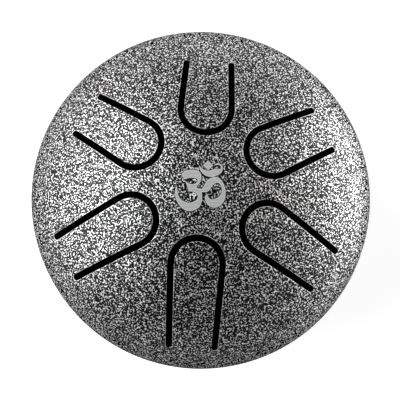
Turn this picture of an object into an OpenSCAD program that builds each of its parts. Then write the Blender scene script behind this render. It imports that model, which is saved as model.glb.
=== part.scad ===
// Small steel tongue drum: two dished steel bowls welded at the rim, six tongues cut in the upper bowl,
// a sound hole and three screwed rubber feet underneath.
// Frame: +Z up, origin on the floor under the middle of the drum, the player sits on the -Y side.
// Each tongue is part of the sheet on the real drum and bends at its root. Here its root is a round face
// about a hinge axis in the middle of the sheet, so that it can swing by the little that the sheet bends.

/* [Bowls] */
// Outside diameter of the two bowls at the rim
bowl_d = 139.2; // [134:0.2:146]
// Thickness of the steel sheet
sheet_t = 1.5; // [1.2:0.1:1.8]
// Outside radius of the wide curve over the middle of a bowl
crown_r = 111.4; // [106:0.2:120]
// Outside radius of the tighter curve at a bowl's shoulder
shoulder_r = 21.5; // [18:0.5:24]
// Height of a bowl's straight edge, up to the middle of the weld
edge_h = 3; // [2.6:0.1:5]
// Height of the lowest point of the lower bowl above the floor
floor_clearance = 3.6; // [3:0.1:6]

/* [Rim weld] */
// Gap between the edges of the two bowls, which the weld fills
weld_gap = 0.8; // [0.4:0.1:1.2]
// Width of the weld bead on the outside
bead_w = 3; // [2:0.2:3.4]
// Height of the weld bead over the sheet
bead_h = 0.4; // [0.2:0.1:0.8]

/* [Tongues] */
// Direction of the first tongue, anticlockwise from the drum's right-hand side
first_angle = 26.5; // [0:0.5:59]
// Width of the cut round each tongue
slot_w = 2.4; // [1.6:0.1:2.4]
// Diameter of the round hole that ends each cut
slot_end_d = 2.5; // [2.5:0.1:3.4]
// Distance from the drum's middle to the middle of the cut at a tongue's free end
inner_reach = 20.3; // [19.5:0.1:24]
// Width of a tongue at its free end, between the middles of its two cuts
free_w = 19.7; // [16:0.1:20.4]
// Width of a tongue at its root, between the middles of its two cuts
root_w = 17.7; // [14:0.1:18.6]
// Distance, seen from above, from the drum's edge to the root of tongue 1, right and away from the player
root_margin_1 = 16.6; // [8.6:0.5:23.6]
// The same for tongue 2, straight away from the player, the highest note
root_margin_2 = 19.6; // [8.6:0.5:23.6]
// The same for tongue 3, left and away from the player
root_margin_3 = 16.1; // [8.6:0.5:23.6]
// The same for tongue 4, left and toward the player
root_margin_4 = 11.1; // [8.6:0.5:23.6]
// The same for tongue 5, straight toward the player, the lowest note
root_margin_5 = 9.1; // [8.6:0.5:23.6]
// The same for tongue 6, right and toward the player
root_margin_6 = 13.1; // [8.6:0.5:23.6]
// Radius of a tongue's round root about its hinge axis
root_r = 2; // [1.6:0.1:2.6]
// Running clearance round a tongue's root
root_clearance = 0.04; // [0.02:0.01:0.1]

/* [Sound hole] */
// Diameter of the sound hole in the middle of the lower bowl
sound_hole_d = 22; // [16:1:30]

/* [Feet] */
// Distance from the drum's middle to the middle of a foot, on the lower bowl's outside
foot_reach = 36; // [32:0.5:42]
// Diameter of a foot against the bowl
foot_top_d = 20; // [16:0.5:22]
// Diameter of a foot near the floor
foot_bottom_d = 17; // [15:0.5:20]
// Diameter of the pocket in a foot that hides the screw's head
foot_pocket_d = 9; // [8.6:0.1:10]
// Thickness of rubber between the bowl and the screw's washer
foot_pad_t = 3.6; // [2.6:0.2:4]
// Direction of the first foot, anticlockwise from the drum's right-hand side
foot_angle = 90; // [0:5:115]

/* [Fasteners] */
// Diameter of the foot screws
screw_d = 4; // [3:0.1:4.6]
// Diameter of a screw's pan head
head_d = 7.2; // [6:0.1:7.8]
// Height of a screw's pan head
head_h = 2.6; // [2:0.1:3]
// Radius of the curve over a screw's pan head
head_curve_r = 6; // [5:0.1:8]
// Depth of the cross in a screw's head
cross_depth = 1.5; // [1:0.1:1.8]
// Length of an arm of the cross, tip to tip
cross_len = 4.2; // [3:0.1:5]
// Width of an arm of the cross
cross_w = 0.9; // [0.6:0.1:1.2]
// Length of screw that stands out past the nut
screw_tail = 1.5; // [0.5:0.1:3]
// Outside diameter of a foot washer
washer_d = 8.4; // [7:0.1:8.5]
// Thickness of a foot washer
washer_t = 0.8; // [0.5:0.1:1.2]
// Distance across the flats of a nut
nut_flats = 7; // [6.8:0.1:8]
// Height of a nut
nut_h = 3.2; // [2.4:0.1:4]
// Clearance round a screw where it passes through the bowl, the foot and the washer
screw_clearance = 0.2; // [0.1:0.05:0.4]
// Clearance between pieces that are clamped or seated against each other
seat_gap = 0.03; // [0.02:0.01:0.1]

/* [Hidden] */
$fn = 96;
// Overrun of every cut past the faces that it cuts
cut = 1;
// Amount by which the shoulder's curve overlaps the curves that it joins, so that they cross cleanly
shoulder_lap = 0.01;
// Share of a nut's corners that its turned chamfer leaves at its end
chamfer_share = 0.9;
root_margins = [root_margin_1, root_margin_2, root_margin_3, root_margin_4, root_margin_5, root_margin_6];
tongue_count = len(root_margins);
foot_count = 3;

bowl_r = bowl_d / 2;
// Distance from the drum's middle to the root of each tongue
tongue_reaches = [for (margin = root_margins) bowl_r - margin];
// Centre of the crown's curve, measured down from where the straight edge ends
crown_drop = sqrt(pow(crown_r - shoulder_r, 2) - pow(bowl_r - shoulder_r, 2));
// Direction, up from level, in which the shoulder's curve meets the crown's
shoulder_angle = atan2(crown_drop, bowl_r - shoulder_r);
// Height of a whole bowl from the middle of the weld
bowl_h = edge_h + crown_r - crown_drop;
rim_z = floor_clearance + bowl_h;
top_z = rim_z + bowl_h;
crown_mid_r = crown_r - sheet_t / 2;

// Centre of the round free end of a tongue, along the tongue's own axis
end_x = inner_reach + free_w / 2;
// Radius of the circle whose cap is the weld bead
bead_r = (pow(bead_w / 2, 2) + pow(bead_h, 2)) / (2 * bead_h);

// Angle from straight down at which a foot's axis leaves the lower bowl
foot_lean = asin(foot_reach / crown_r);
// Length of a foot's axis from the bowl to the floor
foot_len = (floor_clearance + crown_r - crown_r * cos(foot_lean)) / cos(foot_lean);
nut_corner_r = nut_flats / sqrt(3);
// Height over the inside of the sheet at which a flat nut's corners touch the curved bowl
nut_seat = sheet_t + pow(nut_corner_r, 2) / (2 * (crown_r - sheet_t)) + seat_gap;
head_z = -foot_pad_t - washer_t - 2 * seat_gap;

// Angle between a tongue's side and its axis
function taper(reach) = atan2((free_w - root_w) / 2, reach - end_x);
// Place of the hinge axis along a tongue
function hinge_x(reach) = reach - root_r;
function hinge_z(reach) = top_z - crown_r + sqrt(pow(crown_mid_r, 2) - pow(hinge_x(reach), 2));
// Distance from a tongue's axis to its side, the given distance outside the middle of the cut
function side_y(reach, x, out) = free_w / 2 + out - (x - end_x) * tan(taper(reach));
// Where a side leaves the round free end
function side_start(reach, out) = end_x + (free_w / 2 + out) * sin(2 * taper(reach)) / 2;

// Stretch of a tongue between its two sides
module between_sides(reach, from, to, out) {
    polygon([
        [from, -side_y(reach, from, out)],
        [to, -side_y(reach, to, out)],
        [to, side_y(reach, to, out)],
        [from, side_y(reach, from, out)]
    ]);
}

// Half of a bowl's section, the given depth inside its outer surface, and reaching the given depth below its edge
module bowl_section(inset, below) {
    intersection() {
        union() {
            translate([0, -below]) {
                square([bowl_r - inset, edge_h - weld_gap / 2 + below]);
            }
            translate([bowl_r - shoulder_r, edge_h - weld_gap / 2]) {
                circle(shoulder_r - inset + shoulder_lap);
            }
            intersection() {
                translate([0, edge_h - weld_gap / 2 - crown_drop]) {
                    circle(crown_r - inset);
                }
                polygon([
                    [0, edge_h - weld_gap / 2 - crown_drop],
                    [bowl_r, edge_h - weld_gap / 2 - crown_drop + bowl_r * tan(shoulder_angle)],
                    [0, edge_h - weld_gap / 2 + bowl_r * tan(shoulder_angle)]
                ]);
            }
        }
        translate([0, -below]) {
            square([bowl_d, bowl_d]);
        }
    }
}

// One bowl, open side down, with the end of its straight edge at height zero
module bowl() {
    rotate_extrude() {
        difference() {
            bowl_section(0, 0);
            bowl_section(sheet_t, cut);
        }
    }
}

module upper_bowl() {
    translate([0, 0, rim_z + weld_gap / 2]) {
        bowl();
    }
}

module lower_bowl() {
    translate([0, 0, rim_z - weld_gap / 2]) {
        mirror([0, 0, 1]) {
            bowl();
        }
    }
}

// Stands a flat outline up through the whole upper bowl
module through_upper_bowl() {
    translate([0, 0, rim_z]) {
        linear_extrude(bowl_h + cut) {
            children();
        }
    }
}

// Tongue from its round free end to the given distance from the drum's middle, seen from above,
// with its sides the given distance outside the middle of the cut
module tongue_outline(reach, to, out) {
    translate([end_x, 0]) {
        circle(free_w / 2 + out);
    }
    between_sides(reach, side_start(reach, out), to, out);
}

// What is cut out of the bowl for a tongue, up to its hinge axis, with the two cuts that run on beside its root
module opening_outline(reach) {
    difference() {
        tongue_outline(reach, reach, slot_w / 2);
        between_sides(reach, hinge_x(reach), reach + cut, -slot_w / 2);
    }
    for (side = [-1, 1]) {
        translate([reach, side * root_w / 2]) {
            circle(d = slot_end_d);
        }
    }
}

// Everything on the free side of the hinge axis
module before_hinge(reach) {
    translate([0, -free_w, 0]) {
        cube([hinge_x(reach), 2 * free_w, top_z + cut]);
    }
}

// Round root about the hinge axis
module root_cylinder(reach, r) {
    translate([hinge_x(reach), 0, hinge_z(reach)]) {
        rotate([90, 0, 0]) {
            cylinder(h = root_w, r = r, center = true);
        }
    }
}

// Turns what lies along +X to the direction of the numbered tongue
module at_tongue(index) {
    rotate([0, 0, first_angle + index * 360 / tongue_count]) {
        children();
    }
}

module tongue_opening(reach) {
    through_upper_bowl() {
        opening_outline(reach);
    }
    root_cylinder(reach, root_r + root_clearance);
}

module top_shell() {
    color("darkgray") {
        difference() {
            upper_bowl();
            for (index = [0 : tongue_count - 1]) {
                at_tongue(index) {
                    tongue_opening(tongue_reaches[index]);
                }
            }
        }
    }
}

module tongue(index) {
    reach = tongue_reaches[index];
    color("silver") {
        at_tongue(index) {
            intersection() {
                upper_bowl();
                through_upper_bowl() {
                    tongue_outline(reach, reach + cut, -slot_w / 2);
                }
                union() {
                    before_hinge(reach);
                    root_cylinder(reach, root_r);
                }
            }
        }
    }
}

// Places what is drawn about a foot's axis: height zero on the outside of the lower bowl, +Z into the drum
module at_foot(index) {
    rotate([0, 0, foot_angle + index * 360 / foot_count]) {
        translate([0, 0, floor_clearance + crown_r]) {
            rotate([0, -foot_lean, 0]) {
                translate([0, 0, -crown_r]) {
                    children();
                }
            }
        }
    }
}

module bottom_shell() {
    color("dimgray") {
        difference() {
            lower_bowl();
            translate([0, 0, floor_clearance - cut]) {
                cylinder(h = bowl_h, d = sound_hole_d);
            }
            for (index = [0 : foot_count - 1]) {
                at_foot(index) {
                    translate([0, 0, -cut]) {
                        cylinder(h = sheet_t + 2 * cut, d = screw_d + 2 * screw_clearance);
                    }
                }
            }
        }
    }
}

module rim_weld() {
    color("gray") {
        rotate_extrude() {
            translate([bowl_r - sheet_t, rim_z - weld_gap / 2]) {
                square([sheet_t, weld_gap]);
            }
            intersection() {
                translate([bowl_r + bead_h - bead_r, rim_z]) {
                    circle(bead_r);
                }
                translate([bowl_r, rim_z - bead_w]) {
                    square([bead_w, 2 * bead_w]);
                }
            }
        }
    }
}

// Rubber foot, hollowed to the bowl above and cut level with the floor below
module foot(index) {
    color("black") {
        difference() {
            at_foot(index) {
                translate([0, 0, -foot_len - foot_bottom_d / 2]) {
                    cylinder(h = foot_len + foot_bottom_d / 2 + cut, d1 = foot_bottom_d, d2 = foot_top_d);
                }
            }
            translate([0, 0, floor_clearance + crown_r]) {
                sphere(crown_r + seat_gap);
            }
            translate([-bowl_r, -bowl_r, -bowl_r]) {
                cube([bowl_d, bowl_d, bowl_r]);
            }
            at_foot(index) {
                translate([0, 0, -foot_len - foot_bottom_d]) {
                    cylinder(h = foot_len + foot_bottom_d - foot_pad_t, d = foot_pocket_d);
                }
                translate([0, 0, -foot_pad_t - cut]) {
                    cylinder(h = foot_pad_t + 2 * cut, d = screw_d + 2 * screw_clearance);
                }
            }
        }
    }
}

module foot_washer(index) {
    color("lightgray") {
        at_foot(index) {
            translate([0, 0, -foot_pad_t - seat_gap - washer_t]) {
                difference() {
                    cylinder(h = washer_t, d = washer_d);
                    translate([0, 0, -cut]) {
                        cylinder(h = washer_t + 2 * cut, d = screw_d + 2 * screw_clearance);
                    }
                }
            }
        }
    }
}

module foot_screw(index) {
    color("silver") {
        at_foot(index) {
            translate([0, 0, head_z]) {
                cylinder(h = nut_seat + nut_h + screw_tail - head_z, d = screw_d);
                difference() {
                    intersection() {
                        translate([0, 0, -head_h]) {
                            cylinder(h = head_h, d = head_d);
                        }
                        translate([0, 0, head_curve_r - head_h]) {
                            sphere(head_curve_r);
                        }
                    }
                    for (turn = [0, 90]) {
                        rotate([0, 0, turn]) {
                            translate([-cross_len / 2, -cross_w / 2, -head_h - cut]) {
                                cube([cross_len, cross_w, cross_depth + cut]);
                            }
                        }
                    }
                }
            }
        }
    }
}

module foot_nut(index) {
    color("gray") {
        at_foot(index) {
            translate([0, 0, nut_seat]) {
                difference() {
                    intersection() {
                        cylinder(h = nut_h, r = nut_corner_r, $fn = 6);
                        cylinder(h = nut_h, r1 = nut_corner_r + nut_h, r2 = chamfer_share * nut_corner_r);
                    }
                    translate([0, 0, -cut]) {
                        cylinder(h = nut_h + 2 * cut, d = screw_d + 2 * seat_gap);
                    }
                }
            }
        }
    }
}

top_shell();
bottom_shell();
rim_weld();
tongue(0);  // tongue_1
tongue(1);  // tongue_2
tongue(2);  // tongue_3
tongue(3);  // tongue_4
tongue(4);  // tongue_5
tongue(5);  // tongue_6
foot(0);  // foot_back
foot(1);  // foot_left
foot(2);  // foot_right
foot_washer(0);  // foot_washer_back
foot_washer(1);  // foot_washer_left
foot_washer(2);  // foot_washer_right
foot_screw(0);  // foot_screw_back
foot_screw(1);  // foot_screw_left
foot_screw(2);  // foot_screw_right
foot_nut(0);  // foot_nut_back
foot_nut(1);  // foot_nut_left
foot_nut(2);  // foot_nut_right
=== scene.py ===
import bpy
import math
import numpy as np
from mathutils import Matrix, Vector, geometry


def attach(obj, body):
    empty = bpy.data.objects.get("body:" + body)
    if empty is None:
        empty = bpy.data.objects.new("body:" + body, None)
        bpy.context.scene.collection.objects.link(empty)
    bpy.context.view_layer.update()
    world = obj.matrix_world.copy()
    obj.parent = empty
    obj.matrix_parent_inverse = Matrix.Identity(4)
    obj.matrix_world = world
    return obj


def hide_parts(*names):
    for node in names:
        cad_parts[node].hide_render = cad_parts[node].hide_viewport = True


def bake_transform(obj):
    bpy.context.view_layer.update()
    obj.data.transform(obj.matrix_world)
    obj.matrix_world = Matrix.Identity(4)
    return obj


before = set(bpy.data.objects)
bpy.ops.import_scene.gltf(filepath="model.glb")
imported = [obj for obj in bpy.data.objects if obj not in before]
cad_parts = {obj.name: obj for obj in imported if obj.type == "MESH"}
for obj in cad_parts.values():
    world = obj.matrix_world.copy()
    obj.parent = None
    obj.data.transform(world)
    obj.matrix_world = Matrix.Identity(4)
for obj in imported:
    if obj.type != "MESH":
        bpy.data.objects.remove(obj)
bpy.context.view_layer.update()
scene = bpy.context.scene
mm = 0.001
print("frame loaded:", len(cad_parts), "CAD nodes")


def hexColour(code):  # sRGB hex to the linear colour that a shader takes
    parts = [int(code[i:i + 2], 16) / 255 for i in (1, 3, 5)]
    return [p / 12.92 if p <= 0.04045 else ((p + 0.055) / 1.055) ** 2.4 for p in parts] + [1.0]


def addNode(tree, kind, settings=None, inputs=None):  # an input is a plain value, or the socket that feeds it
    node = tree.nodes.new(kind)
    for name, value in (settings or {}).items():
        setattr(node, name, value)
    for name, value in (inputs or {}).items():
        if isinstance(value, bpy.types.NodeSocket):
            tree.links.new(value, node.inputs[name])
        else:
            node.inputs[name].default_value = value
    return node


def newMaterial(name):
    material = bpy.data.materials.new(name)
    material.use_nodes = True
    material.node_tree.nodes.clear()
    return material, material.node_tree


def perMetre(sizeInMm):  # texture scale whose cells are that many millimetres wide
    return 1000 / sizeInMm


def meshObject(name, verts, faces, materials, finishes=None, cornerNormals=None, sharpAngle=None):
    mesh = bpy.data.meshes.new(name)
    mesh.from_pydata([tuple(v) for v in verts], [], faces)
    for material in materials:
        mesh.materials.append(material)
    mesh.polygons.foreach_set("use_smooth", [True] * len(faces))
    if finishes is not None:
        mesh.polygons.foreach_set("material_index", finishes)
    if sharpAngle is not None:
        mesh.set_sharp_from_angle(angle=math.radians(sharpAngle))
    mesh.update()
    if cornerNormals is not None:
        mesh.normals_split_custom_set(cornerNormals)
    piece = bpy.data.objects.new(name, mesh)
    scene.collection.objects.link(piece)
    return piece


# the two bowls' section, in millimetres
bowl = dict(diameter=139.2, sheet=1.5, crownRadius=111.4, shoulderRadius=21.5, straightEdge=3.0, floorGap=3.6,
            weldGap=0.8, edgeRound=0.26, edgeSteps=3, meshRadius=65.0, ringPoints=288, gridPitch=2.1,
            rowSpacing=0.866, gridMargin=0.9, gridClear=0.8, shoulderSteps=13, insideSteps=9)
rimR = bowl["diameter"] / 2
kneeR = rimR - bowl["shoulderRadius"]  # radius of the circle on which the shoulder's curve is centred
crownDrop = math.sqrt((bowl["crownRadius"] - bowl["shoulderRadius"]) ** 2 - kneeR ** 2)
rimZ = bowl["floorGap"] + bowl["straightEdge"] + bowl["crownRadius"] - crownDrop
meetSine = kneeR / (bowl["crownRadius"] - bowl["shoulderRadius"])  # where the two curves meet

# silver vein powder coat over steel: bright aluminium flake broken up by small glossy black veins
veinCoat = dict(flake="#f8f9f9", flakeShade="#d6d7d7", flakeSize=0.5, flakeTilt=0.16, flakeRough=0.46,
                flakeMetal=0.92, vein="#030303", veinSize=0.56, veinShare=0.604, veinShareAtEdges=0.42,
                veinEdge=0.012, veinBend=0.3, veinRough=0.28, edgeTint="#9c9c9c", gloss=0.7, glossFrom=0.2,
                glossTo=0.6, bump=0.6, relief=0.05)


def makeVeinCoat(name, veinShare):
    material, tree = newMaterial(name)
    place = addNode(tree, "ShaderNodeTexCoord").outputs["Object"]
    worms = addNode(tree, "ShaderNodeTexNoise", {"noise_dimensions": "3D"}, {
        "Vector": place, "Scale": perMetre(veinCoat["veinSize"]), "Detail": 0.0,
        "Distortion": veinCoat["veinBend"]})
    veins = addNode(tree, "ShaderNodeMapRange", {"interpolation_type": "SMOOTHSTEP"}, {
        "Value": worms.outputs["Fac"], "From Min": veinShare - veinCoat["veinEdge"],
        "From Max": veinShare + veinCoat["veinEdge"]})
    grains = addNode(tree, "ShaderNodeTexVoronoi", {"feature": "F1"}, {
        "Vector": place, "Scale": perMetre(veinCoat["flakeSize"]), "Randomness": 1.0})
    grey = addNode(tree, "ShaderNodeSeparateColor", {}, {"Color": grains.outputs["Color"]})
    flake = addNode(tree, "ShaderNodeMix", {"data_type": "RGBA"}, {
        "Factor": grey.outputs["Red"], "A": hexColour(veinCoat["flakeShade"]), "B": hexColour(veinCoat["flake"])})
    colour = addNode(tree, "ShaderNodeMix", {"data_type": "RGBA"}, {
        "Factor": veins.outputs["Result"], "A": hexColour(veinCoat["vein"]), "B": flake.outputs["Result"]})
    rough = addNode(tree, "ShaderNodeMapRange", {}, {
        "Value": veins.outputs["Result"], "To Min": veinCoat["veinRough"], "To Max": veinCoat["flakeRough"]})
    metal = addNode(tree, "ShaderNodeMapRange", {}, {
        "Value": veins.outputs["Result"], "To Min": 0.0, "To Max": veinCoat["flakeMetal"]})
    lean = addNode(tree, "ShaderNodeVectorMath", {"operation": "SUBTRACT"}, {  # each flake lies a little its own way
        0: grains.outputs["Color"], 1: (0.5, 0.5, 0.5)})
    tilt = addNode(tree, "ShaderNodeVectorMath", {"operation": "SCALE"}, {
        0: lean.outputs["Vector"], "Scale": 2 * veinCoat["flakeTilt"]})
    leaning = addNode(tree, "ShaderNodeVectorMath", {"operation": "ADD"}, {
        0: addNode(tree, "ShaderNodeNewGeometry").outputs["Normal"], 1: tilt.outputs["Vector"]})
    lain = addNode(tree, "ShaderNodeVectorMath", {"operation": "NORMALIZE"}, {0: leaning.outputs["Vector"]})
    bump = addNode(tree, "ShaderNodeBump", {}, {
        "Strength": veinCoat["bump"], "Distance": veinCoat["relief"] * mm, "Height": veins.outputs["Result"],
        "Normal": lain.outputs["Vector"]})
    slant = addNode(tree, "ShaderNodeLayerWeight", {}, {"Blend": 0.5})
    gloss = addNode(tree, "ShaderNodeMapRange", {"interpolation_type": "SMOOTHSTEP"}, {
        "Value": slant.outputs["Facing"], "From Min": veinCoat["glossFrom"], "From Max": veinCoat["glossTo"],
        "To Min": veinCoat["gloss"], "To Max": 0.0})
    shader = addNode(tree, "ShaderNodeBsdfPrincipled", {}, {
        "Base Color": colour.outputs["Result"], "Roughness": rough.outputs["Result"],
        "Metallic": metal.outputs["Result"], "Specular Tint": hexColour(veinCoat["edgeTint"]),
        "Specular IOR Level": gloss.outputs["Result"], "Normal": bump.outputs["Normal"]})
    addNode(tree, "ShaderNodeOutputMaterial", {}, {"Surface": shader.outputs["BSDF"]})
    return material


# steel laid bare by a laser engraver: its fine oxide looks flat light grey, with the lines of the laser's passes
engraving = dict(face="#bfc0c0", passes="#808181", edge="#c4c5c5", scorch="#161617", passPitch=0.5, passBend=5.0,
                 passDetail=2.0, passSpread=0.45, rough=0.6, bump=0.3, relief=0.02, depth=0.06)


def makeEngravedSteel(name, light, dark):
    material, tree = newMaterial(name)
    place = addNode(tree, "ShaderNodeTexCoord").outputs["Object"]
    lines = addNode(tree, "ShaderNodeTexWave", {"bands_direction": "Y"}, {
        "Vector": place, "Scale": perMetre(engraving["passPitch"]) * math.pi / 10,  # a wave's band is pi / 10 wide
        "Distortion": engraving["passBend"], "Detail": engraving["passDetail"],
        "Detail Scale": engraving["passSpread"]})
    colour = addNode(tree, "ShaderNodeMix", {"data_type": "RGBA"}, {
        "Factor": lines.outputs["Fac"], "A": hexColour(dark), "B": hexColour(light)})
    bump = addNode(tree, "ShaderNodeBump", {}, {
        "Strength": engraving["bump"], "Distance": engraving["relief"] * mm, "Height": lines.outputs["Fac"]})
    shader = addNode(tree, "ShaderNodeBsdfPrincipled", {}, {
        "Base Color": colour.outputs["Result"], "Roughness": engraving["rough"], "Normal": bump.outputs["Normal"]})
    addNode(tree, "ShaderNodeOutputMaterial", {}, {"Surface": shader.outputs["BSDF"]})
    return material


# moulded black rubber: matt, with the fine spark-eroded grain of its mould
footRubber = dict(colour="#1c1c1d", worn="#2b2b2b", grain=0.35, patchSize=6, smooth=0.62, rough=0.8, bump=0.35,
                  relief=0.04)


def makeMouldedRubber():
    material, tree = newMaterial("mouldedBlackRubber")
    place = addNode(tree, "ShaderNodeTexCoord").outputs["Object"]
    grain = addNode(tree, "ShaderNodeTexNoise", {}, {
        "Vector": place, "Scale": perMetre(footRubber["grain"]), "Detail": 2.0})
    patches = addNode(tree, "ShaderNodeTexNoise", {}, {
        "Vector": place, "Scale": perMetre(footRubber["patchSize"]), "Detail": 3.0})
    colour = addNode(tree, "ShaderNodeMix", {"data_type": "RGBA"}, {
        "Factor": patches.outputs["Fac"], "A": hexColour(footRubber["colour"]), "B": hexColour(footRubber["worn"])})
    rough = addNode(tree, "ShaderNodeMapRange", {}, {
        "Value": patches.outputs["Fac"], "To Min": footRubber["smooth"], "To Max": footRubber["rough"]})
    bump = addNode(tree, "ShaderNodeBump", {}, {
        "Strength": footRubber["bump"], "Distance": footRubber["relief"] * mm, "Height": grain.outputs["Fac"]})
    shader = addNode(tree, "ShaderNodeBsdfPrincipled", {}, {
        "Base Color": colour.outputs["Result"], "Roughness": rough.outputs["Result"], "IOR": 1.52,
        "Normal": bump.outputs["Normal"]})
    addNode(tree, "ShaderNodeOutputMaterial", {}, {"Surface": shader.outputs["BSDF"]})
    return material


# black oxide on turned steel: a thin dark blue-black skin over the metal, with faint tool marks and rubbed patches
blackOxide = dict(colour="#2a2b2e", rubbed="#4a4b4e", patchSize=2.5, rubbedFrom=0.5, rubbedTo=0.75, toolPitch=0.25,
                  smooth=0.3, rough=0.5, bump=0.2, relief=0.01)


def makeBlackOxide():
    material, tree = newMaterial("blackOxideSteel")
    place = addNode(tree, "ShaderNodeTexCoord").outputs["Object"]
    patches = addNode(tree, "ShaderNodeTexNoise", {}, {
        "Vector": place, "Scale": perMetre(blackOxide["patchSize"]), "Detail": 4.0})
    marks = addNode(tree, "ShaderNodeTexNoise", {}, {
        "Vector": place, "Scale": perMetre(blackOxide["toolPitch"]), "Detail": 1.0})
    rubbed = addNode(tree, "ShaderNodeMapRange", {"interpolation_type": "SMOOTHSTEP"}, {
        "Value": patches.outputs["Fac"], "From Min": blackOxide["rubbedFrom"], "From Max": blackOxide["rubbedTo"]})
    colour = addNode(tree, "ShaderNodeMix", {"data_type": "RGBA"}, {
        "Factor": rubbed.outputs["Result"], "A": hexColour(blackOxide["colour"]),
        "B": hexColour(blackOxide["rubbed"])})
    rough = addNode(tree, "ShaderNodeMapRange", {}, {
        "Value": patches.outputs["Fac"], "To Min": blackOxide["smooth"], "To Max": blackOxide["rough"]})
    bump = addNode(tree, "ShaderNodeBump", {}, {
        "Strength": blackOxide["bump"], "Distance": blackOxide["relief"] * mm, "Height": marks.outputs["Fac"]})
    shader = addNode(tree, "ShaderNodeBsdfPrincipled", {}, {
        "Base Color": colour.outputs["Result"], "Roughness": rough.outputs["Result"], "Metallic": 1.0,
        "Normal": bump.outputs["Normal"]})
    addNode(tree, "ShaderNodeOutputMaterial", {}, {"Surface": shader.outputs["BSDF"]})
    return material


# black primer, brushed on thin inside, on the cut walls and over the weld; it is partly painted shade too, which
# keeps the cuts black and gives the rim a dark line
blackPrimerAndShade = dict(colour="#0b0b0b", thin="#161514", patchSize=9, rough=0.9, bump=0.3, relief=0.05)


def makeBlackPrimerAndShade():
    material, tree = newMaterial("blackPrimerAndPaintedShade")
    place = addNode(tree, "ShaderNodeTexCoord").outputs["Object"]
    patches = addNode(tree, "ShaderNodeTexNoise", {}, {
        "Vector": place, "Scale": perMetre(blackPrimerAndShade["patchSize"]), "Detail": 5.0})
    colour = addNode(tree, "ShaderNodeMix", {"data_type": "RGBA"}, {
        "Factor": patches.outputs["Fac"], "A": hexColour(blackPrimerAndShade["colour"]), "B": hexColour(blackPrimerAndShade["thin"])})
    bump = addNode(tree, "ShaderNodeBump", {}, {
        "Strength": blackPrimerAndShade["bump"], "Distance": blackPrimerAndShade["relief"] * mm, "Height": patches.outputs["Fac"]})
    shader = addNode(tree, "ShaderNodeBsdfPrincipled", {}, {
        "Base Color": colour.outputs["Result"], "Roughness": blackPrimerAndShade["rough"], "Specular IOR Level": 0.0,
        "Normal": bump.outputs["Normal"]})
    addNode(tree, "ShaderNodeOutputMaterial", {}, {"Surface": shader.outputs["BSDF"]})
    return material


coatMaterial = makeVeinCoat("silverVeinPowderCoat", veinCoat["veinShare"])
coatEdgeMaterial = makeVeinCoat("silverCoatOverEdges", veinCoat["veinShareAtEdges"])  # the veins draw back from edges
primerAndShadeMaterial = makeBlackPrimerAndShade()
signFaceMaterial = makeEngravedSteel("laserEngravedSteel", engraving["face"], engraving["passes"])
signEdgeMaterial = makeEngravedSteel("engravedEdgeSteel", engraving["edge"], engraving["face"])
scorchMaterial = makeEngravedSteel("scorchedCoatEdge", engraving["scorch"], engraving["scorch"])
rubberMaterial = makeMouldedRubber()
fastenerMaterial = makeBlackOxide()
print("materials made")


def roofAt(r, inset):  # height over the rim's middle, and the outward normal's two parts, at plan radius r
    r = np.asarray(r, float)
    crown, shoulder = bowl["crownRadius"] - inset, bowl["shoulderRadius"] - inset
    onCrown = r < crown * meetSine
    sine = np.where(onCrown, r / crown, np.clip((r - kneeR) / shoulder, 0, 1))
    cosine = np.sqrt(1 - sine ** 2)
    z = bowl["straightEdge"] + np.where(onCrown, crown * cosine - crownDrop, shoulder * cosine)
    return z, sine, cosine


def onBowl(points, inset, side):  # plan points lifted onto the bowl; side is 1 for the upper bowl, -1 for the lower
    r = np.hypot(points[:, 0], points[:, 1])
    z, sine, cosine = roofAt(r, inset)
    safe = np.maximum(r, 1e-9)
    places = np.column_stack([points, rimZ + side * z])
    normals = np.column_stack([points[:, 0] / safe * sine, points[:, 1] / safe * sine, side * cosine])
    return places, normals


def insideLoop(points, loop):  # which plan points lie inside a closed outline
    x, y = points[:, 0], points[:, 1]
    inside = np.zeros(len(points), bool)
    for (x0, y0), (x1, y1) in zip(loop, np.roll(loop, -1, axis=0)):
        if y0 != y1:
            inside ^= ((y0 > y) != (y1 > y)) & (x < (x1 - x0) * (y - y0) / (y1 - y0) + x0)
    return inside


# the cuts round the tongues
tongues = dict(firstAngle=26.5, slotWidth=2.4, endHole=2.5, innerReach=20.3, freeWidth=19.7, rootWidth=17.7,
               reaches=[53, 50, 53.5, 58.5, 60.5, 56.5], cornerRadius=0.85, pointPitch=1.2, seamPitch=1.6,
               endSteps=12, arcPoints=34, bendLength=5)
tongueAngles = [math.radians(tongues["firstAngle"] + 360 / len(tongues["reaches"]) * index)
                for index in range(len(tongues["reaches"]))]


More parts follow.
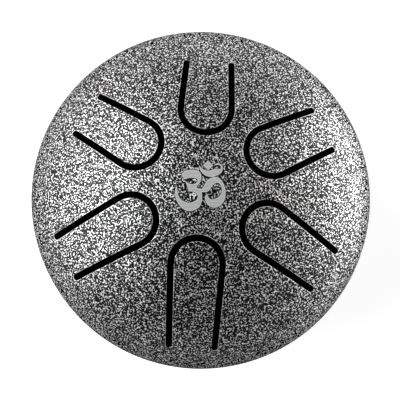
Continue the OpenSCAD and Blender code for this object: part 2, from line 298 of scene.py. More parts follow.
def slotOutline(reach):  # outline of one U-shaped cut along +X, its normals into the sheet, and its two seam points
    half, radius = tongues["slotWidth"] / 2, tongues["freeWidth"] / 2
    endX = tongues["innerReach"] + radius
    taper = math.atan((tongues["freeWidth"] - tongues["rootWidth"]) / 2 / (reach - endX))
    sine, cosine = math.sin(taper), math.cos(taper)
    start = np.array([endX + radius * sine, radius * cosine])
    along, across = np.array([cosine, -sine]), np.array([sine, cosine])
    corner = tongues["cornerRadius"]
    length = (reach + tongues["endHole"] / 2 - start[0]) / cosine
    straight = length - corner
    seam = (reach - start[0] + sine * half) / cosine
    steps = max(2, round(seam / tongues["pointPitch"]))
    outer = [(start + along * s + across * half, across) for s in np.linspace(straight, 0, steps + 1)]
    inner = [(start + along * s - across * half, -across) for s in np.linspace(0, seam, steps + 1)]
    seamPlace = len(inner) - 1
    inner.append((start + along * straight - across * half, -across))
    cap = []
    middle = start + along * straight
    for k in range(1, tongues["endSteps"]):  # the blunt end, from the inner wall round to the outer one
        turn = math.pi * k / tongues["endSteps"]
        away = -across * math.cos(turn) + along * math.sin(turn)
        square = middle + across * (-math.cos(turn)) * (half - corner) + away * corner
        cap.append((square, away))
    mirror = np.array([1, -1])
    flipped = [(p * mirror, n * mirror) for p, n in outer]
    turns = np.linspace(math.pi / 2 - taper, 1.5 * math.pi + taper, tongues["arcPoints"])[1:-1]
    ray = [np.array([math.cos(t), math.sin(t)]) for t in turns]
    middleEnd = np.array([endX, 0])
    ring = outer + [(middleEnd + d * (radius + half), d) for d in ray]
    ring += flipped[::-1] + [(p * mirror, n * mirror) for p, n in cap[::-1]]
    lowSeam = len(ring) + len(inner) - 1 - seamPlace
    ring += [(p * mirror, n * mirror) for p, n in inner[::-1]]
    ring += [(middleEnd + d * (radius - half), -d) for d in ray[::-1]]
    highSeam = len(ring) + seamPlace
    ring += inner + cap
    return np.array([p for p, n in ring]), np.array([n for p, n in ring]), lowSeam, highSeam


def turned(points, angle):  # plan points turned about the drum's middle
    c, s = math.cos(angle), math.sin(angle)
    return points @ np.array([[c, s], [-s, c]])


def roundCut(centre, radius, count):  # a round hole's outline and normals
    turns = np.arange(count) * 2 * math.pi / count
    ray = np.column_stack([np.cos(turns), np.sin(turns)])
    return np.array(centre) + ray * radius, ray


# the traditional Om sign on the crown, drawn in mm from its middle; each outline is a list of smooth
# runs of points, and where one run ends and the next starts the outline has a corner
omSign = dict(place=(-0.9, -0.85), reach=20, scorch=0.35, light=0.02, bright=-0.2, pitch=0.4, probe=0.15)
omSign["outlines"] = [
    [[(-6.7, 4.4), (-6.0, 5.4), (-4.9, 6.0), (-3.0, 6.3), (-1.4, 6.2), (-0.1, 5.6), (0.6, 4.6), (0.8, 3.4),
      (0.6, 2.3), (0.1, 1.2), (-0.6, 0.3), (-1.2, -0.4)],
     [(-1.2, -0.4), (-0.4, -0.9), (0.6, -1.1), (1.8, -1.2)],
     [(1.8, -1.2), (1.7, -2.1)],
     [(1.7, -2.1), (0.9, -2.3)],
     [(0.9, -2.3), (1.0, -3.6), (1.0, -5.0), (0.7, -6.5), (0.1, -7.8), (-1.1, -8.7), (-2.8, -9.35), (-4.5, -9.3),
      (-6.0, -8.6), (-7.3, -7.3), (-8.3, -5.8), (-8.9, -4.0), (-9.1, -2.3), (-8.9, -0.9), (-8.5, 0.2)],
     [(-8.5, 0.2), (-8.3, -1.4), (-8.1, -2.8), (-7.6, -4.2), (-6.5, -5.4), (-5.0, -6.1), (-3.5, -6.3), (-2.0, -5.9),
      (-0.9, -5.1), (-0.5, -4.0), (-0.8, -3.0), (-1.7, -2.2), (-2.8, -2.0), (-3.9, -2.0)],
     [(-3.9, -2.0), (-4.3, -0.6), (-4.7, 0.6), (-5.3, 2.2)],
     [(-5.3, 2.2), (-4.7, 1.5), (-3.9, 1.0), (-3.0, 0.7), (-2.0, 0.75), (-1.1, 1.2), (-0.6, 1.95), (-0.8, 2.75),
      (-1.9, 3.2), (-3.9, 3.15), (-5.6, 2.75)],
     [(-5.6, 2.75), (-6.7, 4.4)]],
    [[(0.8, -1.2), (1.7, -0.2), (2.3, 1.0), (3.0, 2.1), (4.2, 3.0), (5.9, 3.5), (7.5, 3.1), (8.6, 2.0), (9.3, 0.6),
      (9.8, -1.1), (9.9, -3.0), (9.6, -4.9), (8.8, -6.4), (7.6, -7.5), (6.0, -8.1), (4.6, -7.9), (3.4, -7.1),
      (2.6, -6.0), (2.2, -4.7), (2.4, -3.6), (3.0, -2.9)],
     [(3.0, -2.9), (3.4, -4.0), (4.0, -4.9), (5.1, -5.1), (6.5, -4.6), (7.6, -3.8), (8.4, -2.6), (8.55, -1.2),
      (8.2, 0.3), (7.6, 1.1), (6.7, 1.35), (5.8, 1.0), (5.0, 0.2), (4.2, -0.9), (3.6, -1.7), (2.7, -2.15),
      (0.8, -2.2)],
     [(0.8, -2.2), (0.8, -1.2)]],
    [[(0.0, 8.0), (0.15, 6.8), (0.9, 5.4), (2.0, 4.35), (3.3, 3.75), (4.7, 3.6), (6.0, 3.9), (7.3, 4.5), (8.35, 5.3),
      (8.75, 6.2), (8.9, 7.1), (8.7, 7.9), (8.1, 8.5), (7.2, 8.8), (6.3, 8.6), (5.6, 8.0)],
     [(5.6, 8.0), (6.4, 8.2), (7.2, 8.35), (7.95, 8.0), (8.3, 7.2), (8.0, 6.5)],
     [(8.0, 6.5), (7.2, 6.5), (6.3, 6.7), (5.4, 6.4), (4.3, 6.0), (3.1, 5.9), (2.0, 6.15), (1.1, 6.75), (0.45, 7.35),
      (0.0, 8.0)]],
    [[(3.4, 9.9), (1.5, 8.0)], [(1.5, 8.0), (3.4, 6.15)], [(3.4, 6.15), (5.2, 7.9)], [(5.2, 7.9), (3.4, 9.9)]]]


def smoothOutline(runs):  # an outline's own points with smooth curves through each run of them
    loop = []
    for run in runs:
        for k in range(len(run) - 1):
            a, b, c, d = (np.array(run[min(max(i, 0), len(run) - 1)]) for i in (k - 1, k, k + 1, k + 2))
            steps = max(2, int(np.hypot(*(c - b)) / omSign["pitch"]) + 1)
            for t in np.arange(steps) / steps:
                loop.append(0.5 * (2 * b + (c - a) * t + (2 * a - 5 * b + 4 * c - d) * t ** 2
                                   + (3 * b - a - 3 * c + d) * t ** 3))
    return np.array(loop) + np.array(omSign["place"])


omLoops = [smoothOutline(runs) for runs in omSign["outlines"]]


def grownLoop(loop, grow):  # the outline set off outwards by that much
    tangent = np.roll(loop, -1, axis=0) - np.roll(loop, 1, axis=0)
    tangent /= np.linalg.norm(tangent, axis=1)[:, None]
    turning = np.sum(loop[:, 0] * np.roll(loop[:, 1], -1) - loop[:, 1] * np.roll(loop[:, 0], -1))
    return loop + np.column_stack([tangent[:, 1], -tangent[:, 0]]) * grow * np.sign(turning)


def signDistance(points):  # distance outside the sign's outlines, negative inside them
    best = np.full(len(points), 1e9)
    for loop in omLoops:
        closed = np.vstack([loop, loop[:1]])
        dense = np.arange(0, len(loop), omSign["probe"])
        x, y = (np.interp(dense, np.arange(len(closed)), closed[:, k]) for k in (0, 1))
        gap = np.hypot(points[:, 0][:, None] - x, points[:, 1][:, None] - y).min(axis=1)
        best = np.minimum(best, np.where(insideLoop(points, loop), -gap, gap))
    return best


def meshInPlan(cuts, seams, signLoops):  # the bowl's points and triangles in plan, its outlines kept as edges
    points, edges = [], []

    def addLoop(loop):  # a closed outline; it gives the place of its first point
        first = len(points)
        points.extend(loop)
        edges.extend((first + i, first + (i + 1) % len(loop)) for i in range(len(loop)))
        return first

    cutStarts = [addLoop(outline + normals * bowl["edgeRound"]) for outline, normals in cuts]
    for cutIndex, low, high in seams:
        a, b = cutStarts[cutIndex] + low, cutStarts[cutIndex] + high
        count = round(float(np.hypot(*(points[a] - points[b]))) / tongues["seamPitch"])
        run = [a]
        for k in range(1, count):
            run.append(len(points))
            points.append(points[a] + (points[b] - points[a]) * k / count)
        run.append(b)
        edges += list(zip(run[:-1], run[1:]))
    circleStart = addLoop(roundCut((0, 0), bowl["meshRadius"], bowl["ringPoints"])[0])
    for loop in signLoops:
        addLoop(loop)
    known = np.array(points)
    pitch = bowl["gridPitch"]
    span = int(bowl["meshRadius"] / pitch) + 2
    rows = np.array([((i + 0.5 * (j % 2)) * pitch, j * pitch * bowl["rowSpacing"])
                     for j in range(-span * 2, span * 2) for i in range(-span, span)])
    rows = rows[np.hypot(rows[:, 0], rows[:, 1]) < bowl["meshRadius"] - bowl["gridMargin"]]
    near = np.concatenate([np.min(np.hypot(block[:, 0][:, None] - known[:, 0], block[:, 1][:, None] - known[:, 1]),
                                  axis=1) for block in np.array_split(rows, 20)])  # in blocks, to spare memory
    points += list(rows[near > bowl["gridClear"]])
    flat, _, triangles, origVerts, _, _ = geometry.delaunay_2d_cdt(
        [Vector(p) for p in points], edges, [], 0, 1e-5)
    outOf = {}  # which point of the mesh each point put in has become
    for new, old in enumerate(origVerts):
        for o in old:
            outOf.setdefault(o, new)
    return np.array([tuple(v) for v in flat]), np.array(triangles), outOf, cutStarts, circleStart


# one pressed bowl's sheet, with the edges of its cuts rounded by the coat; the first part is the bowl itself, and
# each of the owners' outlines parts off a tongue
def makeBowl(side, cuts, seams, signLoops, owners):
    edgeRound, sheet = bowl["edgeRound"], bowl["sheet"]
    flat, triangles, outOf, cutStarts, circleStart = meshInPlan(cuts, seams, signLoops)
    centres = flat[triangles].mean(axis=1)
    keep = np.ones(len(triangles), bool)
    for outline, normals in cuts:
        keep &= ~insideLoop(centres, outline + normals * edgeRound)
    triangles, centres = triangles[keep], centres[keep]
    corners = flat[triangles]
    turn = np.cross(corners[:, 1] - corners[:, 0], corners[:, 2] - corners[:, 0])
    triangles[turn < 0] = triangles[turn < 0][:, ::-1]  # anticlockwise seen from above
    owner = np.zeros(len(triangles), int)
    for index, loop in enumerate(owners):
        owner[insideLoop(centres, loop)] = index + 1
    finish = np.zeros(len(triangles), int)
    depth = np.zeros(len(flat))
    if signLoops:  # the sign is sunk into the coat: its face, its lighter edge and the scorched line round it
        close = np.hypot(*(centres - np.array(omSign["place"])).T) < omSign["reach"]
        gap = signDistance(centres[close])
        bands = [gap < omSign["bright"], gap < omSign["light"], gap < omSign["scorch"]]
        finish[close] = np.select(bands, [3, 4, 5], 0)
        inSign = np.zeros(len(flat), bool)
        inSign[triangles[finish > 0].ravel()] = True
        inSign[triangles[finish == 0].ravel()] = False
        depth[inSign] = engraving["depth"]
    top, topNormal = onBowl(flat, 0, side)
    top[:, 2] -= depth
    under = flat.copy()
    for (outline, normals), first in zip(cuts, cutStarts):  # the cut's wall stands straight below its outline
        for i in range(len(outline)):
            under[outOf[first + i]] = outline[i]
    low, lowNormal = onBowl(under, sheet, side)
    store = [dict(verts=[], index={}, faces=[], normals=[], finish=[]) for _ in range(len(owners) + 1)]

    def vertex(piece, key, place):
        if key not in piece["index"]:
            piece["index"][key] = len(piece["verts"])
            piece["verts"].append(np.asarray(place) * mm)
        return piece["index"][key]

    def face(piece, keys, places, normals, finishIndex=0):
        order = range(len(keys)) if side > 0 else range(len(keys) - 1, -1, -1)
        piece["faces"].append([vertex(piece, keys[i], places[i]) for i in order])
        piece["normals"] += [tuple(normals[i]) for i in order]
        piece["finish"].append(finishIndex)

    for triangle, who, what in zip(triangles, owner, finish):
        piece = store[who]
        t = list(triangle)
        face(piece, [("top", i) for i in t], top[t], topNormal[t], int(what))
        t = t[::-1]
        # the underside takes the black primer, partly painted shade seen through the cuts
        face(piece, [("low", i) for i in t], low[t], -lowNormal[t], 1)
    lastStep = bowl["edgeSteps"]
    steps = [math.radians(90 * k / lastStep) for k in range(lastStep + 1)]
    tongueSides = {cutIndex: (low, high, who + 1) for who, (cutIndex, low, high) in enumerate(seams)}
    for cutIndex, ((outline, normals), first) in enumerate(zip(cuts, cutStarts)):
        count = len(outline)
        low0, high0, tongue = tongueSides.get(cutIndex, (0, 0, 0))
        layers = []
        for angle in steps:  # rounded edge: from the sheet's face over to the cut's wall
            at = outline + normals * edgeRound * (1 - math.sin(angle))
            places, faceNormals = onBowl(at, 0, side)
            places[:, 2] -= side * edgeRound * (1 - math.cos(angle))
            away = np.column_stack([-normals, np.zeros(count)])
            blend = faceNormals * math.cos(angle) + away * math.sin(angle)
            layers.append((places, blend / np.linalg.norm(blend, axis=1)[:, None]))
        wall = np.column_stack([-normals, np.zeros(count)])
        bottom = onBowl(outline, sheet, side)[0]
        layers.append((bottom, wall))
        for i in range(count):
            j = (i + 1) % count
            piece = store[tongue if low0 <= i < high0 else 0]
            for k in range(len(layers) - 1):
                keys = [("cut", first, k, i) if 0 < k else ("top", outOf[first + i]),
                        ("cut", first, k, j) if 0 < k else ("top", outOf[first + j]),
                        ("cut", first, k + 1, j) if k < lastStep else ("low", outOf[first + j]),
                        ("cut", first, k + 1, i) if k < lastStep else ("low", outOf[first + i])]
                a, b = layers[k], layers[k + 1]
                face(piece, keys, [a[0][i], a[0][j], b[0][j], b[0][i]], [a[1][i], a[1][j], b[1][j], b[1][i]],
                     2 if k == 0 else 1)  # the coat ends on the rounding, and the wall is black primer, partly painted shade that keeps the cuts dark
    shell = store[0]  # the bowl itself, which goes on past the flat mesh's edge
    ray = roundCut((0, 0), bowl["meshRadius"], bowl["ringPoints"])[1]
    rings = []  # round the shoulder, down the straight edge, across it and back up inside
    knee = math.asin((bowl["meshRadius"] - kneeR) / bowl["shoulderRadius"])
    for angle in np.linspace(knee, math.pi / 2, bowl["shoulderSteps"]):
        sine, cosine = math.sin(angle), math.cos(angle)
        rings.append((kneeR + bowl["shoulderRadius"] * sine, bowl["straightEdge"] + bowl["shoulderRadius"] * cosine,
                      sine, cosine))
    rings.append((rimR, bowl["weldGap"] / 2, 1, 0))
    outerCount = len(rings)
    innerR = bowl["shoulderRadius"] - sheet
    innerKnee = math.asin((bowl["meshRadius"] - kneeR) / innerR)
    rings.append((kneeR + innerR, bowl["weldGap"] / 2, -1, 0))
    for angle in np.linspace(math.pi / 2, innerKnee, bowl["insideSteps"]):
        sine, cosine = math.sin(angle), math.cos(angle)
        rings.append((kneeR + innerR * sine, bowl["straightEdge"] + innerR * cosine, -sine, -cosine))
    for k in range(len(rings) - 1):
        (r0, z0, nr0, nz0), (r1, z1, nr1, nz1) = rings[k], rings[k + 1]
        if k == outerCount - 1:
            nr0, nz0, nr1, nz1 = 0, -1, 0, -1
        for i in range(len(ray)):
            j = (i + 1) % len(ray)
            keys, places, normals = [], [], []
            for level, who, r, z, nr, nz in ((k, i, r0, z0, nr0, nz0), (k + 1, i, r1, z1, nr1, nz1),
                                             (k + 1, j, r1, z1, nr1, nz1), (k, j, r0, z0, nr0, nz0)):
                shared = outOf[circleStart + who]
                keys.append(("top", shared) if level == 0 else ("low", shared) if level == len(rings) - 1
                            else ("ring", level, who))
                places.append((ray[who][0] * r, ray[who][1] * r, rimZ + side * z))
                normals.append((ray[who][0] * nr, ray[who][1] * nr, side * nz))
            face(shell, keys, places, normals, 1 if k >= outerCount else 0)
    return store


def bowlPiece(name, part, materials):  # the part's mesh, with as many of the materials as it uses
    used = materials[:max(part["finish"]) + 1]
    return meshObject(name, part["verts"], part["faces"], used, part["finish"], part["normals"])


topCuts, topSeams, tongueLoops = [], [], []
for index, (reach, angle) in enumerate(zip(tongues["reaches"], tongueAngles)):
    outline, normals, lowSeam, highSeam = slotOutline(reach)
    outline, normals = turned(outline, angle), turned(normals, angle)
    topCuts.append((outline, normals))
    topSeams.append((index, lowSeam, highSeam))
    tongueLoops.append((outline + normals * bowl["edgeRound"] * 0.5)[lowSeam:highSeam + 1])
signLoops = [grownLoop(loop, omSign[band]) for loop in omLoops for band in ("scorch", "light", "bright")]
topParts = makeBowl(1, topCuts, topSeams, signLoops, tongueLoops)
bowlMaterials = [coatMaterial, primerAndShadeMaterial, coatEdgeMaterial]
signMaterials = [signFaceMaterial, signEdgeMaterial, scorchMaterial]
topShell = bowlPiece("top_shell_skin", topParts[0], bowlMaterials + signMaterials)
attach(topShell, "drum")
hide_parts("top_shell")
for index, (reach, angle) in enumerate(zip(tongues["reaches"], tongueAngles)):
    name = f"tongue_{index + 1}"
    piece = bowlPiece(name + "_skin", topParts[index + 1], bowlMaterials)
    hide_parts(name)
    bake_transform(piece)
print("upper bowl and its tongues made")

# the lower bowl, with its sound hole and the holes for the feet's screws
lower = dict(soundHole=22, holePoints=96, screwHole=4.8, screwPoints=24, footReach=36, firstFoot=90,
             feet=("back", "left", "right"))
footAngles = [math.radians(lower["firstFoot"] + 360 / len(lower["feet"]) * k) for k in range(len(lower["feet"]))]
footLean = math.asin(lower["footReach"] / bowl["crownRadius"])
bottomCuts = [roundCut((0, 0), lower["soundHole"] / 2, lower["holePoints"])]
for angle in footAngles:
    reach = (bowl["crownRadius"] - bowl["sheet"] / 2) * math.sin(footLean)
    screwPlace = (reach * math.cos(angle), reach * math.sin(angle))
    bottomCuts.append(roundCut(screwPlace, lower["screwHole"] / 2, lower["screwPoints"]))
bottomParts = makeBowl(-1, bottomCuts, [], [], [])
bottomShell = bowlPiece("bottom_shell_skin", bottomParts[0], bowlMaterials)
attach(bottomShell, "drum")
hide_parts("bottom_shell")
print("lower bowl made")

# the weld at the rim
weld = dict(beadWidth=3.0, beadHeight=0.355, ripple=0.035, ripplePitch=1.3, rippleBend=2.4, steps=9, count=900,
            gapHalf=0.39, gapInset=0.2)


def makeWeld():
    half, height, count = weld["beadWidth"] / 2, weld["beadHeight"], weld["count"]
    arcR = (half ** 2 + height ** 2) / (2 * height)
    waves = round(2 * math.pi * rimR / weld["ripplePitch"])
    verts, faces = [], []
    profile = [("bead", z) for z in np.linspace(half, -half, weld["steps"])]
    outer, inner, gap = rimR - weld["gapInset"], rimR - bowl["sheet"], weld["gapHalf"]
    profile += [("gap", (outer, -gap)), ("gap", (inner, -gap)), ("gap", (inner, gap)), ("gap", (outer, gap))]
    for i in range(count):
        turn = 2 * math.pi * i / count
        for kind, at in profile:
            if kind == "bead":
                r = rimR + height - arcR + math.sqrt(arcR ** 2 - at ** 2)
                wave = math.cos(waves * turn + weld["rippleBend"] * (at / half) ** 2)  # bent like fish scales
                r += weld["ripple"] * wave * (1 - (at / half) ** 2)
                z = at
            else:
                r, z = at
            verts.append((r * math.cos(turn) * mm, r * math.sin(turn) * mm, (rimZ + z) * mm))
    size = len(profile)
    for i in range(count):
        j = (i + 1) % count
        for k in range(size):
            m = (k + 1) % size
            faces.append([i * size + k, i * size + m, j * size + m, j * size + k])
    # the bead takes the black primer: partly painted shade, which draws a dark line round the rim
    return meshObject("rim_weld_bead", verts, faces, [primerAndShadeMaterial], sharpAngle=50)


weldBead = makeWeld()
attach(weldBead, "drum")
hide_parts("rim_weld")
print("weld made")

# the rubber feet
foot = dict(topDiameter=20, bottomDiameter=17, pocket=9, padThickness=3.6, hole=4.4, edgeRound=0.9, lipRound=0.5,
            seatRound=0.5, padRound=0.2, holeRound=0.3, seatGap=0.03, points=72)


def makeFoot(name, angle):
    lean, crown = footLean, bowl["crownRadius"]
    length = (bowl["floorGap"] + crown - crown * math.cos(lean)) / math.cos(lean)
    centre = np.array([0, 0, bowl["floorGap"] + crown])
    down = np.array([math.sin(lean), 0, -math.cos(lean)])
    side = np.array([math.cos(lean), 0, math.sin(lean)])
    cross = np.array([0, 1, 0])
    seat = centre + down * crown
    floorPoint = seat + down * length

    def wallPoint(depth, out):  # on the tapered wall, that far down the foot's own axis
        radius = (foot["topDiameter"] + (foot["bottomDiameter"] - foot["topDiameter"]) * depth / length) / 2
        return seat + down * depth + out * radius

    def underBowl(radius, out):  # where the foot's top lies under the bowl, that far from the foot's axis
        reach = crown + foot["seatGap"]
        return centre + down * math.sqrt(reach ** 2 - radius ** 2) + out * radius

    columns = []  # one section through the foot for each step round it
    for i in range(foot["points"]):
        turn = 2 * math.pi * i / foot["points"]
        out = side * math.cos(turn) + cross * math.sin(turn)
        a, b = wallPoint(0, out), wallPoint(length, out)
        wallWay = (b - a) / np.linalg.norm(b - a)
        wallFoot = b + wallWay * (-b[2] / wallWay[2])  # where the wall meets the floor
        wallTop = underBowl(foot["topDiameter"] / 2, out)
        inward = floorPoint - wallFoot
        inward[2] = 0
        inward /= np.linalg.norm(inward)
        pocketLine = seat + out * foot["pocket"] / 2
        pocketFoot = pocketLine + down * (-pocketLine[2] / down[2])
        outward = wallFoot - pocketFoot
        outward[2] = 0
        outward /= np.linalg.norm(outward)
        column = [underBowl(foot["hole"] / 2, out), underBowl(foot["topDiameter"] / 2 - foot["seatRound"], out),
                  wallTop + wallWay * foot["seatRound"]]
        startWall, endFloor = wallFoot - wallWay * foot["edgeRound"], wallFoot + inward * foot["edgeRound"]
        for t in (0, 0.25, 0.5, 0.75, 1):  # rounded lower edge
            column.append(startWall * (1 - t) ** 2 + wallFoot * 2 * t * (1 - t) + endFloor * t ** 2)
        startLip, endLip = pocketFoot + outward * foot["lipRound"], pocketFoot - down * foot["lipRound"]
        for t in (0, 0.33, 0.67, 1):  # rounded lip of the screw's pocket
            column.append(startLip * (1 - t) ** 2 + pocketFoot * 2 * t * (1 - t) + endLip * t ** 2)
        padPoint = seat + down * foot["padThickness"]
        column.append(padPoint + down * foot["padRound"] + out * foot["pocket"] / 2)
        column.append(padPoint + out * (foot["pocket"] / 2 - foot["padRound"]))
        column.append(padPoint + out * foot["hole"] / 2)
        column.append(seat + down * (foot["padThickness"] - foot["holeRound"]) + out * foot["hole"] / 2)
        column.append(seat + down * foot["holeRound"] + out * foot["hole"] / 2)
        columns.append(column)
    rings = list(zip(*columns))
    c, s = math.cos(angle), math.sin(angle)
    verts = [((p[0] * c - p[1] * s) * mm, (p[0] * s + p[1] * c) * mm, max(p[2], 0) * mm)
             for ring in rings for p in ring]
    n, faces = foot["points"], []
    for k in range(len(rings)):
        m = (k + 1) % len(rings)
        for i in range(n):
            j = (i + 1) % n
            faces.append([k * n + i, m * n + i, m * n + j, k * n + j])
    return meshObject(name, verts, faces, [rubberMaterial], sharpAngle=40)


for where, angle in zip(lower["feet"], footAngles):
    piece = makeFoot(f"rubber_foot_{where}", angle)
    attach(piece, "drum")
    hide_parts(f"foot_{where}")
    for kind in ("washer", "screw", "nut"):
        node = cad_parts[f"foot_{kind}_{where}"]
        for slotted in node.material_slots:
            slotted.material = fastenerMaterial
        if not node.material_slots:
            node.data.materials.append(fastenerMaterial)
print("feet and fasteners made")

# the floor, the light and the camera
# the studio's colours and sizes: the paper's front and the spot right under the sound hole are painted in shade, and
# its glow fades out under the drum as a painted shadow
studio = dict(floorSize=6.0, sink=0.02, paper="#b8b8b8", fibre="#b2b2b2", fibreSize=4, rough=0.9, paintedShade="#989898",
              shadeFrom=-0.085, shadeTo=-0.15, holeShadow="#141414", holeFrom=0.014, holeTo=0.022, glowColour="#ffffff",
              glow=0.8, underFrom=0.018, underTo=0.066)


def makeFloor():
    material, tree = newMaterial("paleMattPaper")  # matt studio paper with a faint fibre, and painted shade towards the front that the camera's own rays don't see
    place = addNode(tree, "ShaderNodeTexCoord").outputs["Object"]
    fibre = addNode(tree, "ShaderNodeTexNoise", {}, {
        "Vector": place, "Scale": perMetre(studio["fibreSize"]), "Detail": 3.0})
    paper = addNode(tree, "ShaderNodeMix", {"data_type": "RGBA"}, {
        "Factor": fibre.outputs["Fac"], "A": hexColour(studio["fibre"]), "B": hexColour(studio["paper"])})
    along = addNode(tree, "ShaderNodeSeparateXYZ", {}, {"Vector": place})
    # painted shade: towards the front the paper is painted darker, for every ray but the camera's
    front = addNode(tree, "ShaderNodeMapRange", {"interpolation_type": "SMOOTHSTEP"}, {
        "Value": along.outputs["Y"], "From Min": studio["shadeTo"], "From Max": studio["shadeFrom"]})
    rays = addNode(tree, "ShaderNodeLightPath")
    lit = addNode(tree, "ShaderNodeMath", {"operation": "MAXIMUM"}, {
        0: front.outputs["Result"], 1: rays.outputs["Is Camera Ray"]})
    sheetColour = addNode(tree, "ShaderNodeMix", {"data_type": "RGBA"}, {
        "Factor": lit.outputs["Value"], "A": hexColour(studio["paintedShade"]), "B": paper.outputs["Result"]})
    away = addNode(tree, "ShaderNodeVectorMath", {"operation": "LENGTH"}, {0: place})
    holeShadowMask = addNode(tree, "ShaderNodeMapRange", {"interpolation_type": "SMOOTHSTEP"}, {
        "Value": away.outputs["Value"], "From Min": studio["holeFrom"], "From Max": studio["holeTo"]})
    colour = addNode(tree, "ShaderNodeMix", {"data_type": "RGBA"}, {  # painted shadow: right under the sound hole the paper is painted near black, where no light gets in
        "Factor": holeShadowMask.outputs["Result"], "A": hexColour(studio["holeShadow"]), "B": sheetColour.outputs["Result"]})
    seen = addNode(tree, "ShaderNodeMath", {"operation": "MAXIMUM"}, {
        0: rays.outputs["Is Camera Ray"], 1: rays.outputs["Is Glossy Ray"]})
    seenThrough = addNode(tree, "ShaderNodeMath", {"operation": "MAXIMUM"}, {
        0: seen.outputs["Value"], 1: rays.outputs["Is Transmission Ray"]})
    clearOfPaintedShadow = addNode(tree, "ShaderNodeMapRange", {"interpolation_type": "SMOOTHSTEP"}, {  # painted shadow: the paper's glow fades out under the drum
        "Value": away.outputs["Value"], "From Min": studio["underFrom"], "From Max": studio["underTo"]})
    # the glow also goes with the painted shade at the front
    outside = addNode(tree, "ShaderNodeMath", {"operation": "MULTIPLY"}, {
        0: clearOfPaintedShadow.outputs["Result"], 1: lit.outputs["Value"]})
    share = addNode(tree, "ShaderNodeMath", {"operation": "MULTIPLY"}, {
        0: seenThrough.outputs["Value"], 1: outside.outputs["Value"]})
    glow = addNode(tree, "ShaderNodeMath", {"operation": "MULTIPLY"}, {0: share.outputs["Value"], 1: studio["glow"]})
    shader = addNode(tree, "ShaderNodeBsdfPrincipled", {}, {
        "Base Color": colour.outputs["Result"], "Roughness": studio["rough"],
        "Emission Color": hexColour(studio["glowColour"]), "Emission Strength": glow.outputs["Value"]})
    sheet = addNode(tree, "ShaderNodeMixShader", {}, {  # clear from below, so that the feet can be looked at
        0: addNode(tree, "ShaderNodeNewGeometry").outputs["Backfacing"], 1: shader.outputs["BSDF"],
        2: addNode(tree, "ShaderNodeBsdfTransparent").outputs["BSDF"]})
    addNode(tree, "ShaderNodeOutputMaterial", {}, {"Surface": sheet.outputs["Shader"]})
    h, z = studio["floorSize"] / 2, -studio["sink"] * mm
    floor = meshObject("studio_floor", [(-h, -h, z), (h, -h, z), (h, h, z), (-h, h, z)], [[0, 1, 2, 3]], [material])


makeFloor()


def softBox(name, azimuth, elevation, distance, size, power):  # a soft box aimed at the drum
    a, e = math.radians(azimuth), math.radians(elevation)
    place = Vector((math.cos(e) * math.cos(a), math.cos(e) * math.sin(a), math.sin(e))) * distance
    data = bpy.data.lights.new(name, "AREA")
    data.shape = "RECTANGLE"
    data.size, data.size_y = size
    data.energy = power
    lamp = bpy.data.objects.new(name, data)
    lamp.location = place
    lamp.rotation_euler = (Vector((0, 0, rimZ * mm)) - place).to_track_quat("-Z", "Y").to_euler()
    scene.collection.objects.link(lamp)


# each soft box: where it stands as seen from the drum, in degrees and metres, its size in metres and its watts
softBoxes = {"soft_box_left": dict(azimuth=165, elevation=46, distance=1.0, size=(1.3, 0.45), power=14.8),
             "soft_box_right": dict(azimuth=13, elevation=8, distance=1.0, size=(0.9, 0.24), power=12.8),
             "soft_box_back": dict(azimuth=90, elevation=1, distance=1.0, size=(0.3, 0.14), power=1.3)}
for name, box in softBoxes.items():
    softBox(name, **box)

# a pale room, light at the horizon and dark overhead, which leaves the drum's crown dark as photographed; looked
# at directly it is pale all round, and metal shows it pale a little higher up than it gives light
room = dict(colour="#ffffff", horizonStrength=1.0, overheadStrength=0.04, paleBelow=0.1, darkAbove=0.5,
            mirroredUpTo=0.56)


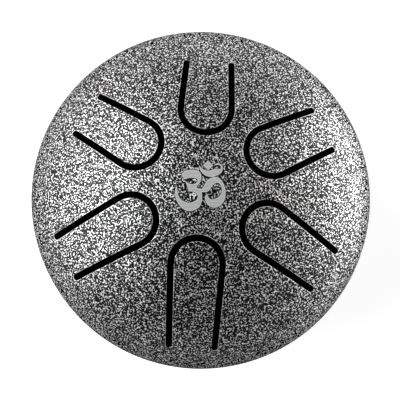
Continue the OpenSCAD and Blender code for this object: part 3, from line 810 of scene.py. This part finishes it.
def makeRoom():
    world = bpy.data.worlds.new("paleStudio")
    world.use_nodes = True
    tree = world.node_tree
    tree.nodes.clear()
    way = addNode(tree, "ShaderNodeSeparateXYZ", {}, {
        "Vector": addNode(tree, "ShaderNodeTexCoord").outputs["Generated"]})
    shade = addNode(tree, "ShaderNodeMapRange", {"interpolation_type": "SMOOTHSTEP"}, {
        "Value": way.outputs["Z"], "From Min": room["paleBelow"], "From Max": room["darkAbove"],
        "To Min": room["horizonStrength"], "To Max": room["overheadStrength"]})
    rays = addNode(tree, "ShaderNodeLightPath")
    mirrored = addNode(tree, "ShaderNodeMath", {"operation": "MAXIMUM"}, {
        0: rays.outputs["Is Glossy Ray"], 1: rays.outputs["Is Transmission Ray"]})
    lowDown = addNode(tree, "ShaderNodeMapRange", {"interpolation_type": "SMOOTHSTEP"}, {
        "Value": way.outputs["Z"], "From Min": room["paleBelow"], "From Max": room["mirroredUpTo"],
        "To Min": room["horizonStrength"], "To Max": 0.0})
    inMetal = addNode(tree, "ShaderNodeMath", {"operation": "MULTIPLY"}, {
        0: mirrored.outputs["Value"], 1: lowDown.outputs["Result"]})
    direct = addNode(tree, "ShaderNodeMath", {"operation": "MULTIPLY"}, {
        0: rays.outputs["Is Camera Ray"], 1: room["horizonStrength"]})
    seen = addNode(tree, "ShaderNodeMath", {"operation": "MAXIMUM"}, {
        0: inMetal.outputs["Value"], 1: direct.outputs["Value"]})
    strength = addNode(tree, "ShaderNodeMath", {"operation": "MAXIMUM"}, {
        0: shade.outputs["Result"], 1: seen.outputs["Value"]})
    around = addNode(tree, "ShaderNodeBackground", {}, {
        "Color": hexColour(room["colour"]), "Strength": strength.outputs["Value"]})
    addNode(tree, "ShaderNodeOutputWorld", {}, {"Surface": around.outputs["Background"]})
    scene.world = world


makeRoom()
scene.view_settings.view_transform = "Standard"

# the photograph's camera: its distance from the rim's middle in mm, its tilts in degrees and its picture in pixels
shot = dict(distance=408, tiltX=8.1, tiltY=-0.45, pixelsPerMm=2.404, centre=(200.8, 198.2), frame=400, sensor=36)


def makeCamera():
    tx, ty = math.radians(shot["tiltX"]), math.radians(shot["tiltY"])
    back = Vector((math.sin(ty) * math.cos(tx), -math.sin(tx), math.cos(tx) * math.cos(ty))).normalized()
    right = Vector((0, 1, 0)).cross(back).normalized()
    up = back.cross(right)
    data = bpy.data.cameras.new("camera")
    data.sensor_width = shot["sensor"]
    data.lens = shot["pixelsPerMm"] * shot["distance"] * shot["sensor"] / shot["frame"]
    data.shift_x = -(shot["centre"][0] - shot["frame"] / 2) / shot["frame"]
    data.shift_y = (shot["centre"][1] - shot["frame"] / 2) / shot["frame"]
    data.clip_start, data.clip_end = 0.01, 20
    camera = bpy.data.objects.new("camera", data)
    camera.location = Vector((0, 0, rimZ * mm)) + back * shot["distance"] * mm
    axes = [[right[i], up[i], back[i]] for i in range(3)]
    camera.rotation_mode = "QUATERNION"
    camera.rotation_quaternion = Matrix(axes).to_quaternion()
    scene.collection.objects.link(camera)
    scene.camera = camera


makeCamera()
print("studio made")
